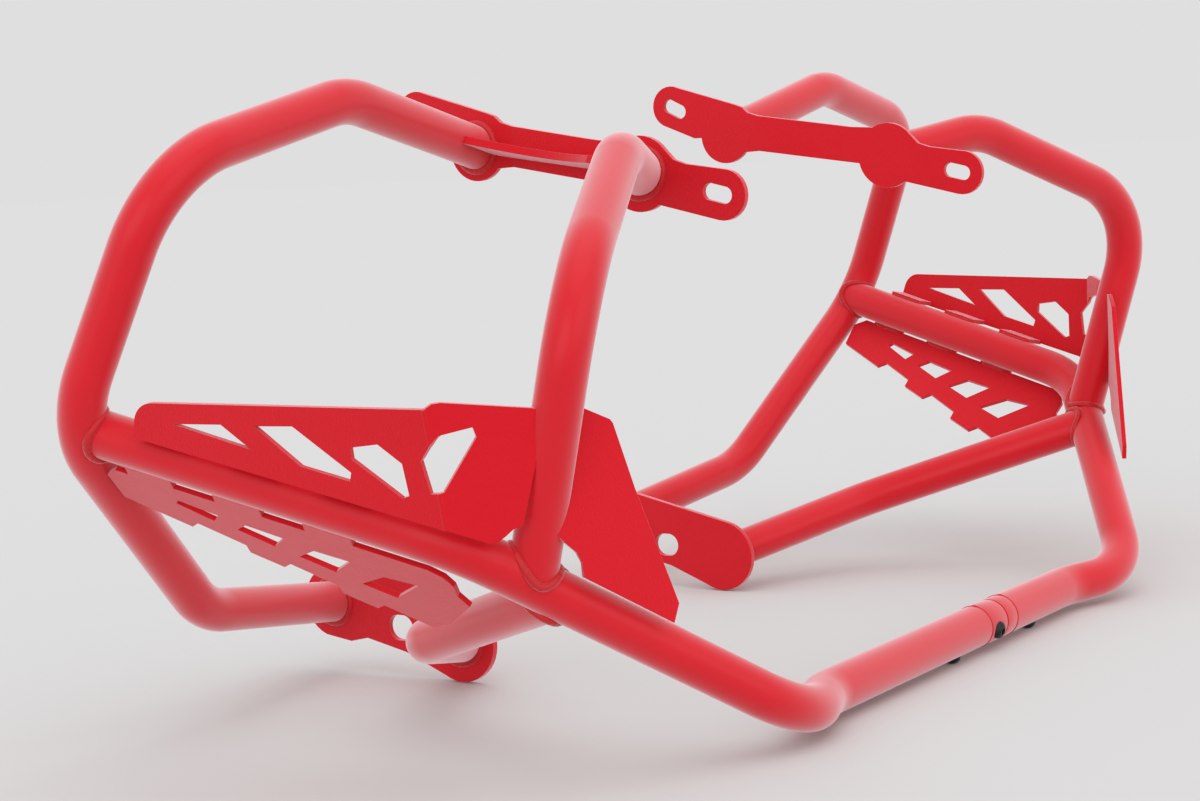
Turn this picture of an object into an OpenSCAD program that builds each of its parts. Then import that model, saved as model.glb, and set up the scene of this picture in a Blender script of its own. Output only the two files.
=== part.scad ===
// Crash bars for a motorcycle: two welded tube guards, one for each side of the engine,
// joined end to end under the front of the frame.
// Millimetres. X points to the left side of the bike, Y to the back and Z up.
// Places are given for the left guard; the right guard is its mirror image.
// A place is written as across, back and up; a place on a plate as back and up.

/* [Tubing] */
// Outside width of every tube
tube_od = 25.4; // [20:0.2:32]
// Wall of every tube
tube_wall = 2; // [1.2:0.1:3]
// Centre-line radius of the hoop's bends
hoop_bend = 65; // [40:1:75]
// Centre-line radius of the upright's bends
upright_bend = 62; // [40:1:70]
// Centre-line radius of the main rail's bends
rail_bend = 62; // [40:1:70]
// Centre-line radius of the lower brace's bend
brace_bend = 60; // [40:1:90]

/* [Rear hoop] */
// Hoop end on the upper bracket
hoop_top = [54, 322.8]; // [-400:0.1:400]
// First bend after the bracket
hoop_crown = [271.8, 46.1, 354.1]; // [-500:0.1:500]
// Outer top bend
hoop_shoulder = [413.1, 52.2, 322.5]; // [-500:0.1:500]
// Outermost bend, where the main rail is welded
hoop_hip = [432.9, 110.3, 191]; // [-500:0.1:500]
// Lowest bend
hoop_heel = [300.3, 152.9, 67.4]; // [-500:0.1:500]
// Hoop end on the lower mount plate
hoop_foot = [179.9, 44]; // [-400:0.1:400]

/* [Front upright] */
// Upright end on the upper bracket
upright_top = [-65.8, 303.5]; // [-400:0.1:400]
// First bend after the bracket
upright_crown = [223.2, -99.2, 316.8]; // [-500:0.1:500]
// Outer top bend
upright_shoulder = [357.4, -159.3, 256.9]; // [-500:0.1:500]
// Distance of the upright's foot from the rail's first bend point
upright_foot_along = 42.7; // [38:0.1:60]

/* [Main rail] */
// Rail start inside the hoop's outermost bend
rail_start = [420.3, 112, 189.4]; // [-500:0.1:500]
// First bend
rail_shoulder = [378.6, -96, 130]; // [-500:0.1:500]
// Bend above the ground
rail_knee = [220.6, -197.1, 17.2]; // [-500:0.1:500]
// Distance across to the bend into the straight cross part
rail_turn = 164.9; // [120:0.1:200]
// Place of the cross part, front to back
cross_back = -175.3; // [-200:0.1:-150]

/* [Lower brace] */
// Distance of the brace's start from the rail's first bend point
brace_along = 58; // [50:0.1:80]
// Bend of the brace
brace_elbow = [263.3, 22.8, 51.1]; // [-500:0.1:500]
// Brace end on the lower mount plate
brace_foot = [80.9, 25]; // [-400:0.1:400]

/* [Upper bracket] */
// Middle of the bracket's rear stretch, across
bracket_rear_x = 143.5; // [120:0.1:160]
// Outward step of its front stretch
bracket_step = 8.5; // [4:0.1:14]
// Distance of the rear fold in front of the hoop's end
rear_fold_ahead = 26.5; // [22:0.1:32]
// Distance of the front fold behind the upright's end
front_fold_behind = 34.5; // [28:0.1:40]
// Thickness of the bracket
bracket_t = 4; // [3:0.1:6]
// Radius of the bracket round the hoop's end
rear_lobe_r = 19.3; // [17:0.1:22]
// Radius of the bracket round the upright's end
front_lobe_r = 21.6; // [19:0.1:24]
// Width of the strip between the two tube ends
strip_w = 24; // [18:0.1:30]
// Middle of the strip at the rear fold, above the hoop's end
strip_rear_rise = 0; // [-4:0.1:4]
// Middle of the strip at the front fold, above the upright's end
strip_front_rise = 9.5; // [6:0.1:13]
// Centre of the rear arm's round end, from the hoop's end
rear_arm = [43.6, 21.9]; // [-80:0.1:80]
// Centre of the front arm's round end, from the upright's end
front_arm = [-54.2, -13.7]; // [-80:0.1:80]
// Radius of both arm ends
arm_end_r = 14.3; // [12:0.1:17]
// Width of the bolt slots
slot_w = 9.5; // [8:0.1:11]
// Length of the bolt slots over their round ends
slot_l = 19; // [15:0.1:21]
// Distance of the slot's middle from the arm's round end, back along the arm
slot_setback = 3.8; // [0:0.1:6]
// Depth of the gusset between the tube ends
gusset_depth = 25; // [15:0.5:35]
// Thickness of the gusset
gusset_t = 4.5; // [3:0.1:6]
// Rise of the gusset away from the bracket, in degrees
gusset_rise = 14; // [8:0.5:20]
// Radius of the gusset's hollow outer edge
gusset_hollow_r = 90; // [70:1:140]

/* [Lower mount plate] */
// Middle of the plate, across
mount_x = 154; // [130:0.1:170]
// Thickness of the plate
mount_t = 5; // [3:0.1:8]
// Radius of the plate round the brace's end
mount_front_r = 25; // [22:0.1:28]
// Radius of the plate round the hoop's end
mount_rear_r = 22.5; // [20:0.1:26]
// Corner where the top edge levels out, from the hoop's end
mount_peak = [-30.7, 23]; // [-60:0.1:60]
// Hollow of the lower edge in front, from the brace's end
mount_waist = [42.3, -9.4]; // [-60:0.1:60]
// Highest point of the lower edge, from the hoop's end
mount_arch = [-26.2, -21.5]; // [-60:0.1:60]
// Lowest point of the lower edge at the back, from the hoop's end
mount_toe = [-12.7, -24.4]; // [-60:0.1:60]
// Centre of the bolt hole, from the brace's end
mount_hole = [45.8, 5.8]; // [-60:0.1:60]
// Width of the bolt hole, up and down
mount_hole_w = 16; // [12:0.1:18]
// Length of the bolt hole, front to back
mount_hole_l = 19.5; // [16:0.1:24]

/* [Upper guard plate] */
// Thickness of the guard plates and the corner plate
guard_t = 3; // [2:0.1:4]
// Lean of the upper plate about the rail, in degrees
upper_lean = 9; // [0:0.5:20]
// Space between the rail's side and the plate
upper_gap = 0.8; // [0.2:0.1:3]
// Rear end of the plate along the rail
upper_rear = 40; // [30:0.5:50]
// Bottom edge of the plate above the rail's middle
upper_bottom = 11.4; // [10.5:0.1:16]
// Height of the rear edge where its corner starts
upper_rear_top = 21; // [16:0.5:26]
// Radius of the rear top corner
upper_corner_r = 12; // [8:0.5:16]
// Fold line, lower end: along the rail and above it
fold_low = [219.1, 13.6]; // [0:0.1:300]
// Fold line, upper end
fold_high = [199.5, 70.9]; // [0:0.1:300]
// Turn of the front stretch at the fold, in degrees
fold_turn = 38; // [20:1:45]
// Length of the three tabs on each guard plate
tab_l = 28; // [15:0.5:32]
// Spacing of the tabs
tab_pitch = 53; // [48:0.5:56]
// Start of the first tab of the upper plate
upper_tab_start = 41; // [40:0.5:48]

/* [Lower guard plate] */
// Lean of the lower plate about the rail, in degrees
lower_lean = 45; // [35:0.5:55]
// Distance of the lower plate from the rail's middle line
lower_off = 10.6; // [8:0.1:11.5]
// Top edge below the rail's middle
lower_top = 10.7; // [10:0.1:14]
// Start of the first tab of the lower plate
lower_tab_start = 30; // [24:0.5:36]
// Drop of the toothed edge over one tooth
tooth_drop = 11.6; // [8:0.1:14]
// First tooth, lower front corner
tooth_tip = [58.6, -45.8]; // [-100:0.1:100]

/* [Corner plate] */
// Turn of the corner plate away from facing forward, in degrees
corner_turn = 30; // [20:0.5:40]
// Distance of the plate in front of the upright's foot
corner_off = 18.5; // [16:0.1:20]
// Height of the plate above the upright's foot
corner_h = 86; // [70:0.5:95]

/* [Joint and bolts] */
// Place of the gap between the halves, to the left of the middle
joint_x = 48; // [20:1:80]
// Gap between the halves
joint_gap = 1; // [0.5:0.1:3]
// Length of the right half's end sleeve
right_sleeve_l = 22; // [18:0.5:30]
// Length of the left half's end sleeve
left_sleeve_l = 14; // [8:0.5:30]
// Length of the joining spigot past each lower bolt
spigot_past_bolt = 15; // [9:1:35]
// Clearance round the spigot
spigot_fit = 0.05; // [0.02:0.01:0.3]
// Distance of the two lower bolts from the gap
lower_bolt_from_gap = 55; // [40:1:58]
// Distance of the front bolt from the gap
front_bolt_from_gap = 12; // [9:0.5:14]
// Angle of the front bolt below straight ahead
front_bolt_angle = 15; // [0:1:40]
// Thread size of the joint bolts
bolt_d = 6; // [5:0.5:8]
// Head width of the joint bolts
bolt_head_d = 11; // [9:0.1:13]
// Head height of the joint bolts
bolt_head_h = 3.6; // [3:0.1:4.5]
// Key width of the hex sockets
bolt_key = 4; // [3:0.5:5]
// Depth of the hex sockets
bolt_key_depth = 2; // [1:0.1:2.5]
// Depth of the flat seat under a bolt head, into the tube's side
seat_depth = 0.9; // [0.6:0.1:1.5]
// Length of the bolts below their heads
bolt_l = 16; // [12:0.5:18]

/* [Hidden] */
$fn = 48;

tube_r = tube_od / 2;
bore_r = tube_r - tube_wall;
// The cross part lies on the heads of its two lower bolts
cross_z = tube_r + bolt_head_h - seat_depth;
// Length that a tube runs on past a face before it is cut off there
past = 12;
// Small overrun of a cutter past the face it cuts
over = 1;
// A bend is thicker than a straight by this much, and runs this far into it,
// so that the two grow into one solid
bend_swell = 0.2;
bend_lap = 0.5;

// Reach of the blocks that cut off everything on one side of a face
block_reach = 3 * max(abs(hoop_foot[0]), abs(upright_shoulder[1]));

bracket_rear_fold = hoop_top[0] - rear_fold_ahead;
bracket_front_fold = upright_top[0] + front_fold_behind;
strip_rear_z = hoop_top[1] + strip_rear_rise;
strip_front_z = upright_top[1] + strip_front_rise;
rear_arm_end = hoop_top + rear_arm;
front_arm_end = upright_top + front_arm;
mount_hole_at = brace_foot + mount_hole;
spigot_half = lower_bolt_from_gap + spigot_past_bolt;
bracket_front_x = bracket_rear_x + bracket_step;
bracket_rear_face = bracket_rear_x + bracket_t / 2;
bracket_front_face = bracket_front_x + bracket_t / 2;
mount_face = mount_x + mount_t / 2;

paint = [0.80, 0.10, 0.13];
steel = [0.12, 0.12, 0.13];

function unit(v) = v / norm(v);
// Point that lies a distance before p on the line that comes from q
function beyond(p, q, by) = p + unit(p - q) * by;
// Matrix that puts the X, Y and Z axes along a, b and c, with the origin at o
function axes(a, b, c, o) = [
    [a.x, b.x, c.x, o.x],
    [a.y, b.y, c.y, o.y],
    [a.z, b.z, c.z, o.z]
];

cross_turn = [rail_turn, cross_back, cross_z];
rail_dir = unit(rail_knee - rail_shoulder);
upright_foot = rail_shoulder + rail_dir * upright_foot_along;
brace_start = rail_shoulder + rail_dir * brace_along;

hoop_first = [bracket_rear_x, hoop_top[0], hoop_top[1]];
hoop_last = [mount_x, hoop_foot[0], hoop_foot[1]];
hoop_line = [
    beyond(hoop_first, hoop_crown, past),
    hoop_crown, hoop_shoulder, hoop_hip, hoop_heel,
    beyond(hoop_last, hoop_heel, past)
];

upright_first = [bracket_front_x, upright_top[0], upright_top[1]];
upright_line = [
    beyond(upright_first, upright_crown, past),
    upright_crown, upright_shoulder, upright_foot
];

brace_last = [mount_x, brace_foot[0], brace_foot[1]];
brace_line = [
    brace_start, brace_elbow,
    beyond(brace_last, brace_elbow, past)
];

left_cross_end = joint_x + joint_gap / 2 + left_sleeve_l;
right_cross_end = joint_x - joint_gap / 2 - right_sleeve_l;

// Tube making

// Round bar from p to q
module bar(p, q, r) {
    w = unit(q - p);
    side = abs(w.z) < 0.9 ? [0, 0, 1] : [1, 0, 0];
    u = unit(cross(side, w));
    multmatrix(axes(u, cross(w, u), w, p))
        cylinder(h = norm(q - p), r = r);
}

// Bent bar at corner b on the way from a to c
module elbow(a, b, c, bend, r) {
    go = unit(b - a);
    leave = unit(c - b);
    turn = acos(go * leave);
    lap = bend_lap / bend * 180 / PI;
    side = unit(leave - (leave * go) * go);
    centre = b - go * bend * tan(turn / 2) + side * bend;
    multmatrix(axes(-side, go, cross(-side, go), centre))
        rotate([0, 0, -lap])
            rotate_extrude(angle = turn + 2 * lap)
                translate([bend, 0])
                    circle(r = r + bend_swell);
}

// Length of the corner that a bend takes away from each straight
function setback(line, i, bend) =
    i == 0 || i == len(line) - 1 ? 0
    : bend * tan(acos(unit(line[i] - line[i - 1]) * unit(line[i + 1] - line[i])) / 2);

// Bar along a line of corner points, with every corner bent
module bent_bar(line, bend, r) {
    for (i = [0 : len(line) - 2]) {
        go = unit(line[i + 1] - line[i]);
        bar(line[i] + go * setback(line, i, bend),
            line[i + 1] - go * setback(line, i + 1, bend), r);
    }
    for (i = [1 : len(line) - 2])
        elbow(line[i - 1], line[i], line[i + 1], bend, r);
}

// Hollow tube along a line of corner points
module bent_tube(line, bend) {
    difference() {
        bent_bar(line, bend, tube_r);
        bent_bar(line, bend, bore_r);
    }
}

// Block that takes away everything inboard of a face, between two heights
module inboard(face, low, high) {
    translate([face - 2 * past, -block_reach, low])
        cube([2 * past, 2 * block_reach, high - low]);
}

module right_side() {
    mirror([1, 0, 0])
        children();
}

// Tubes

module hoop_bar(r) {
    bent_bar(hoop_line, hoop_bend, r);
}

module upright_bar(r) {
    bent_bar(upright_line, upright_bend, r);
}

function rail_line(end) = [
    rail_start, rail_shoulder, rail_knee, cross_turn, [end, cross_back, cross_z]
];

module rail_bar(r) {
    bent_bar(rail_line(joint_x), rail_bend, r);
}

module hoop_tube() {
    color(paint)
        difference() {
            bent_tube(hoop_line, hoop_bend);
            inboard(bracket_rear_face, hoop_top[1] - 60, hoop_top[1] + 60);
            inboard(mount_face, hoop_foot[1] - 60, hoop_foot[1] + 60);
        }
}

module front_upright() {
    color(paint)
        difference() {
            bent_tube(upright_line, upright_bend);
            inboard(bracket_front_face, upright_top[1] - 60, upright_top[1] + 60);
            rail_bar(tube_r);
        }
}

// Main rail that ends at a place on the cross part and carries one lower bolt
module main_rail(end, bolt_x) {
    color(paint)
        difference() {
            bent_tube(rail_line(end), rail_bend);
            hoop_bar(tube_r);
            lower_bolt_place(bolt_x)
                bolt_hole();
        }
}

module lower_brace() {
    color(paint)
        difference() {
            bent_tube(brace_line, brace_bend);
            inboard(mount_face, brace_foot[1] - 60, brace_foot[1] + 60);
            rail_bar(tube_r);
        }
}

// Upper bracket

// The bracket seen from above: a strip with two slight folds
module bracket_strip() {
    half = bracket_t / 2;
    fold = atan2(bracket_step, bracket_rear_fold - bracket_front_fold);
    slip = half * tan(fold / 2);
    back = rear_arm_end[0] + arm_end_r + over;
    front = front_arm_end[0] - arm_end_r - over;
    polygon([
        [bracket_rear_x - half, back],
        [bracket_rear_x - half, bracket_rear_fold - slip],
        [bracket_front_x - half, bracket_front_fold - slip],
        [bracket_front_x - half, front],
        [bracket_front_x + half, front],
        [bracket_front_x + half, bracket_front_fold + slip],
        [bracket_rear_x + half, bracket_rear_fold + slip],
        [bracket_rear_x + half, back]
    ]);
}

module slot(at, toward, length, width) {
    go = (toward - at) / norm(toward - at);
    side = [-go[1], go[0]];
    reach = (length - width) / 2;
    middle = at + go * slot_setback;
    for (s = [-1, 1])
        translate(middle + go * reach * s)
            circle(d = width);
    polygon([
        middle - go * reach - side * width / 2,
        middle + go * reach - side * width / 2,
        middle + go * reach + side * width / 2,
        middle - go * reach + side * width / 2
    ]);
}

// Points of an arc about a centre, from one angle to another
function arc(centre, r, from, to, steps = 14) = [
    for (i = [0 : steps])
        let (a = from + (to - from) * i / steps)
            centre + r * [cos(a), sin(a)]
];

function heading(from, to) = atan2(to[1] - from[1], to[0] - from[0]);

// Side outline of the bracket: two arms, two round lobes and the strip between
module bracket_outline() {
    slope = (strip_rear_z - strip_front_z) / (bracket_rear_fold - bracket_front_fold);
    rear_way = heading(hoop_top, rear_arm_end);
    front_way = heading(upright_top, front_arm_end);
    half = strip_w / 2;
    difference() {
        polygon(concat(
            arc(rear_arm_end, arm_end_r, rear_way + 90, rear_way - 90),
            [hoop_top + [25, -1]],
            arc(hoop_top, rear_lobe_r, -3, -140),
            [
                [bracket_rear_fold, strip_rear_z - half],
                [bracket_front_fold, strip_front_z - half]
            ],
            arc(upright_top, front_lobe_r, -12, -124),
            arc(front_arm_end, arm_end_r, front_way + 90, front_way - 90),
            [upright_top + [-31, 4.3], upright_top + [-23, 7]],
            arc(upright_top, front_lobe_r, 144, 62, 8),
            [
                [bracket_front_fold - 8, strip_front_z + half - 8 * slope],
                [bracket_rear_fold, strip_rear_z + half],
                [bracket_rear_fold + 8, strip_rear_z + half + 2.5],
                hoop_top + [-14, 18.5],
                hoop_top + [-8, 20.8]
            ]
        ));
        slot(rear_arm_end, hoop_top, slot_l, slot_w);
        slot(front_arm_end, upright_top, slot_l, slot_w);
    }
}

module upper_bracket() {
    low = front_arm_end[1] - arm_end_r - over;
    high = rear_arm_end[1] + arm_end_r + over;
    color(paint)
        intersection() {
            translate([0, 0, low])
                linear_extrude(height = high - low)
                    bracket_strip();
            upright_plane(bracket_rear_x - bracket_t, 2 * bracket_t + bracket_step)
                bracket_outline();
        }
}

// Outline drawn as back and up, made thick across from a place on
module upright_plane(from, thick) {
    multmatrix(axes([0, 1, 0], [0, 0, 1], [1, 0, 0], [from, 0, 0]))
        linear_extrude(height = thick)
            children();
}

// Gusset that stands on the bracket between the two tube ends
module bracket_gusset() {
    run = upright_first - hoop_first;
    out = [cos(gusset_rise), 0, sin(gusset_rise)];
    flat = unit(cross(run, out));
    along = cross(out, flat);
    span = norm(run);
    foot = [bracket_rear_x, hoop_top[0], strip_rear_z];
    color(paint)
        difference() {
            multmatrix(axes(out, along, flat, foot))
                linear_extrude(height = gusset_t, center = true)
                    difference() {
                        translate([0, along * run > 0 ? 0 : -span])
                            square([gusset_depth + bracket_step, span]);
                        translate([gusset_depth + gusset_hollow_r - 3,
                            (along * run > 0 ? 1 : -1) * span / 2])
                            circle(r = gusset_hollow_r, $fn = 120);
                    }
            translate([0, 0, hoop_top[1] - 80])
                linear_extrude(height = 160)
                    inside_of_bracket();
            hoop_bar(tube_r);
            upright_bar(tube_r);
        }
}

// Everything inboard of the bracket's outer face, seen from above
module inside_of_bracket() {
    half = bracket_t / 2;
    fold = atan2(bracket_step, bracket_rear_fold - bracket_front_fold);
    slip = half * tan(fold / 2);
    polygon([
        [0, block_reach], [0, -block_reach],
        [bracket_front_x + half, -block_reach],
        [bracket_front_x + half, bracket_front_fold + slip],
        [bracket_rear_x + half, bracket_rear_fold + slip],
        [bracket_rear_x + half, block_reach]
    ]);
}

// Lower mount plate

module mount_outline() {
    front = [brace_foot[0], mount_front_r];
    peak = hoop_foot + mount_peak;
    rise = atan2(peak[1] - 2 * mount_front_r, peak[0] - front[0]);
    difference() {
        polygon(concat(
            arc(front, mount_front_r, 90 + rise, 300, 24),
            [brace_foot + mount_waist, hoop_foot + mount_arch, hoop_foot + mount_toe],
            arc(hoop_foot, mount_rear_r, -72, 72),
            [peak]
        ));
        translate(mount_hole_at - [(mount_hole_l - mount_hole_w) / 2, 0])
            circle(d = mount_hole_w);
        translate(mount_hole_at + [(mount_hole_l - mount_hole_w) / 2, 0])
            circle(d = mount_hole_w);
        translate(mount_hole_at)
            square([mount_hole_l - mount_hole_w, mount_hole_w], center = true);
    }
}

module lower_mount_plate() {
    color(paint)
        upright_plane(mount_x - mount_t / 2, mount_t)
            mount_outline();
}

// Guard plates

rail_go = unit(rail_shoulder - rail_start);
rail_in = unit(cross(rail_go, [0, 0, 1]));
rail_up = cross(rail_in, rail_go);

// Frame of a plate beside the rail: X along the rail, Y up the plate, Z inward
module on_rail(lean) {
    inward = rail_in * cos(lean) + rail_up * sin(lean);
    upward = rail_up * cos(lean) - rail_in * sin(lean);
    multmatrix(axes(rail_go, upward, inward, rail_start))
        children();
}

upper_off = tube_r + upper_gap + guard_t / 2;
fold_go = (fold_high - fold_low) / norm(fold_high - fold_low);
fold_len = norm(fold_high - fold_low);
fold_side = [fold_go[1], -fold_go[0]];

// Place on the upper plate given from the fold: forward of it and up along it
function from_fold(p) = fold_low + fold_side * p[0] + fold_go * p[1];

// Round filling of the fold, a little proud of both faces
fold_bead = guard_t / 2 + 0.2;
// Window that crosses the fold: where it cuts the fold line, then its corners
// behind the fold and in front of it
window_low = 18.7;
window_high = 40.4;
window_behind = [[0, window_high], [-6.1, 35.4], [-4, window_low], [0, window_low]];
window_ahead = [
    [0, window_high], [5.6, 46.6], [21.5, 47.2], [22.4, 42],
    [2.1, window_low], [0, window_low]
];

module upper_rear_windows() {
    polygon([[62.4, 25.1], [90.3, 32.6], [109, 24.4]]);
    polygon([[108.9, 37], [130.5, 43], [165.4, 28.6], [165.4, 23.8], [137.5, 23.6]]);
    polygon([[163.3, 41.1], [177.9, 47], [192.2, 41], [198.1, 25.8], [194.5, 23.5], [165, 35.3]]);
    polygon([for (p = window_behind) from_fold(p)]);
}

module upper_rear_outline() {
    corner = [upper_rear + upper_corner_r, upper_rear_top];
    difference() {
        polygon(concat(
            [[upper_rear, upper_bottom], fold_low, fold_high],
            arc(corner, upper_corner_r, 103, 180, 8)
        ));
        upper_rear_windows();
    }
}

// Front stretch, drawn forward of the fold and up along it
module upper_front_outline() {
    difference() {
        polygon([
            [0, 0], [19.5, -11.2], [23.5, -11.2], [28, -9], [32, -6.5], [37, -6],
            [58, 47], [52, 50], [8.3, 62.2], [4, 62.4], [0, fold_len]
        ]);
        polygon(window_ahead);
    }
}

// Frame of the front stretch, turned inward about the fold line
module ahead_of_fold() {
    multmatrix(axes(
        [fold_side[0], fold_side[1], 0], [fold_go[0], fold_go[1], 0], [0, 0, 1],
        [fold_low[0], fold_low[1], 0]))
        rotate([0, -fold_turn, 0])
            children();
}

// Tabs that reach from a guard plate to the rail
module tabs(start, low, high, inner, outer) {
    for (i = [0 : 2])
        translate([start + i * tab_pitch, low, inner])
            cube([tab_l, high - low, outer - inner]);
}

module upper_guard_plate() {
    color(paint)
        difference() {
            on_rail(upper_lean) {
                translate([0, 0, -upper_off]) {
                    linear_extrude(height = guard_t, center = true)
                        upper_rear_outline();
                    ahead_of_fold()
                        linear_extrude(height = guard_t, center = true)
                            upper_front_outline();
                    bar(on_fold(0.3), on_fold(window_low), fold_bead);
                    bar(on_fold(window_high), on_fold(fold_len - 0.3), fold_bead);
                }
                tabs(upper_tab_start, tube_r - 0.5, tube_r - 0.5 + guard_t, -upper_off, 2);
            }
            rail_bar(tube_r);
            upright_bar(tube_r);
        }
}

function on_fold(t) = [fold_low[0] + fold_go[0] * t, fold_low[1] + fold_go[1] * t, 0];

// One window of the lower plate; each is a step on from the one before
module lower_window(i) {
    polygon([
        [55 + 35.2 * i, -25.4 - 7.3 * i],
        [57 + 39.8 * i, -22 - 3.6 * i],
        [80.4 + 38.9 * i, -24.6 - 1.9 * i],
        [76.6 + 34.7 * i, -31.3 - 6.3 * i]
    ]);
}

// Corner number k of tooth i on the lower edge
function tooth(i) = [
    for (p = [[-19.7, 4], [0, 0], [5, 5.6], [32.4, -1.2]])
        tooth_tip + [tab_pitch * i, -tooth_drop * i] + p
];

module lower_outline() {
    difference() {
        polygon(concat(
            [[22, -lower_top], [14.5, -18.5], [19, -36.8]],
            [for (p = tooth(0)) if (p[0] > 40) p],
            tooth(1), tooth(2),
            [[205, -63], [210, -59], [225, -35], [219.5, -28], [219, -19.5],
                [214.5, -13.5], [206, -lower_top]]
        ));
        for (i = [0 : 3])
            lower_window(i);
    }
}

module lower_guard_plate() {
    color(paint)
        difference() {
            on_rail(lower_lean) {
                translate([0, 0, -lower_off])
                    linear_extrude(height = guard_t, center = true)
                        lower_outline();
                tabs(lower_tab_start, -lower_top - 1, -3,
                    -lower_off - guard_t / 2, -lower_off + guard_t / 2);
            }
            rail_bar(tube_r);
        }
}

// Corner plate

corner_face = [sin(corner_turn), -cos(corner_turn), 0];
corner_away = [-cos(corner_turn), -sin(corner_turn), 0];

// Drawn away from the upright and up from its foot
module corner_outline() {
    polygon([
        [2, corner_h], [24, corner_h], [38.3, corner_h - 7], [39.8, corner_h - 9],
        [50, 43.3], [71.2, -17.2], [67.9, -27],
        [19.6, 2.3], [19.1, 9.8], [16.4, 15.2], [9, 22], [2, 30]
    ]);
}

module corner_plate() {
    color(paint)
        difference() {
            multmatrix(axes(corner_away, [0, 0, 1], -corner_face, upright_foot)) {
                translate([0, 0, -corner_off])
                    linear_extrude(height = guard_t, center = true)
                        corner_outline();
            }
            rail_bar(tube_r);
            upright_bar(tube_r);
        }
}

// Joint

// Bolt drawn from its seat, with the head along +Z and the shank along -Z
module bolt() {
    color(steel)
        difference() {
            union() {
                rotate_extrude()
                    bolt_head_profile();
                translate([0, 0, -bolt_l])
                    cylinder(h = bolt_l + 0.5, d = bolt_d);
            }
            translate([0, 0, bolt_head_h - bolt_key_depth])
                cylinder(h = bolt_key_depth + over, d = bolt_key / cos(30), $fn = 6);
        }
}

// Half of a low dome with a flat top
module bolt_head_profile() {
    edge = bolt_head_d / 2;
    flat = bolt_key * 0.72;
    r = (pow(edge - flat, 2) + pow(bolt_head_h, 2)) / (2 * (edge - flat));
    middle = [edge - r, 0];
    polygon(concat(
        [[0, 0]],
        arc(middle, r, 0, heading(middle, [flat, bolt_head_h]), 6),
        [[0, bolt_head_h]]
    ));
}

// Shank and seat cutter for a bolt
module bolt_hole() {
    translate([0, 0, -bolt_l])
        cylinder(h = bolt_l + over, d = bolt_d);
    cylinder(h = 2 * tube_wall + over, d = bolt_head_d + 1.2);
}

// Place of a lower bolt: head down, seat just inside the tube's skin
module lower_bolt_place(x) {
    translate([x, cross_back, cross_z - tube_r + seat_depth])
        rotate([180, 0, 0])
            children();
}

module front_bolt_place() {
    translate([joint_x - joint_gap / 2 - front_bolt_from_gap, cross_back, cross_z])
        rotate([90 + front_bolt_angle, 0, 0])
            translate([0, 0, tube_r - seat_depth])
                children();
}

module sleeve(from, to) {
    color(paint)
        difference() {
            bar([from, cross_back, cross_z], [to, cross_back, cross_z], tube_r);
            bar([from - over, cross_back, cross_z], [to + over, cross_back, cross_z], bore_r);
        }
}

module left_joint_sleeve() {
    sleeve(joint_x + joint_gap / 2, left_cross_end);
}

module right_joint_sleeve() {
    difference() {
        sleeve(right_cross_end, joint_x - joint_gap / 2);
        front_bolt_place()
            bolt_hole();
    }
}

module joint_spigot() {
    color(steel)
        difference() {
            bar([joint_x - spigot_half, cross_back, cross_z],
                [joint_x + spigot_half, cross_back, cross_z], bore_r - spigot_fit);
            for (s = [-1, 1])
                lower_bolt_place(joint_x + s * lower_bolt_from_gap)
                    bolt_hole();
            front_bolt_place()
                bolt_hole();
        }
}

// The left guard as it is, and the right guard as its mirror image
module left_hoop_tube() { hoop_tube(); }
module right_hoop_tube() { right_side() hoop_tube(); }
module left_front_upright() { front_upright(); }
module right_front_upright() { right_side() front_upright(); }
module left_main_rail() {
    main_rail(left_cross_end, joint_x + lower_bolt_from_gap);
}
module right_main_rail() {
    right_side() main_rail(-right_cross_end, lower_bolt_from_gap - joint_x);
}
module left_lower_brace() { lower_brace(); }
module right_lower_brace() { right_side() lower_brace(); }
module left_upper_bracket() { upper_bracket(); }
module right_upper_bracket() { right_side() upper_bracket(); }
module left_bracket_gusset() { bracket_gusset(); }
module right_bracket_gusset() { right_side() bracket_gusset(); }
module left_lower_mount_plate() { lower_mount_plate(); }
module right_lower_mount_plate() { right_side() lower_mount_plate(); }
module left_upper_guard_plate() { upper_guard_plate(); }
module right_upper_guard_plate() { right_side() upper_guard_plate(); }
module left_lower_guard_plate() { lower_guard_plate(); }
module right_lower_guard_plate() { right_side() lower_guard_plate(); }
module left_corner_plate() { corner_plate(); }
module right_corner_plate() { right_side() corner_plate(); }
module left_lower_bolt() { lower_bolt_place(joint_x + lower_bolt_from_gap) bolt(); }
module right_lower_bolt() { lower_bolt_place(joint_x - lower_bolt_from_gap) bolt(); }
module front_joint_bolt() { front_bolt_place() bolt(); }

left_hoop_tube();
right_hoop_tube();
left_front_upright();
right_front_upright();
left_main_rail();
right_main_rail();
left_lower_brace();
right_lower_brace();
left_upper_bracket();
right_upper_bracket();
left_bracket_gusset();
right_bracket_gusset();
left_lower_mount_plate();
right_lower_mount_plate();
left_upper_guard_plate();
right_upper_guard_plate();
left_lower_guard_plate();
right_lower_guard_plate();
left_corner_plate();
right_corner_plate();
left_joint_sleeve();
right_joint_sleeve();
joint_spigot();
left_lower_bolt();
right_lower_bolt();
front_joint_bolt();
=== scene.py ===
"""Powder-coated crash bars for a motorcycle: bent tubes, cut plates, weld beads
and the bolted joint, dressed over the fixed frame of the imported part.

Sizes below are in millimetres, as in the part's source, and become metres where
a mesh is made. X points to the left of the bike, Y to the back and Z up.
"""
import math

import bmesh
import bpy
import numpy as np
from mathutils import Matrix


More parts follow.
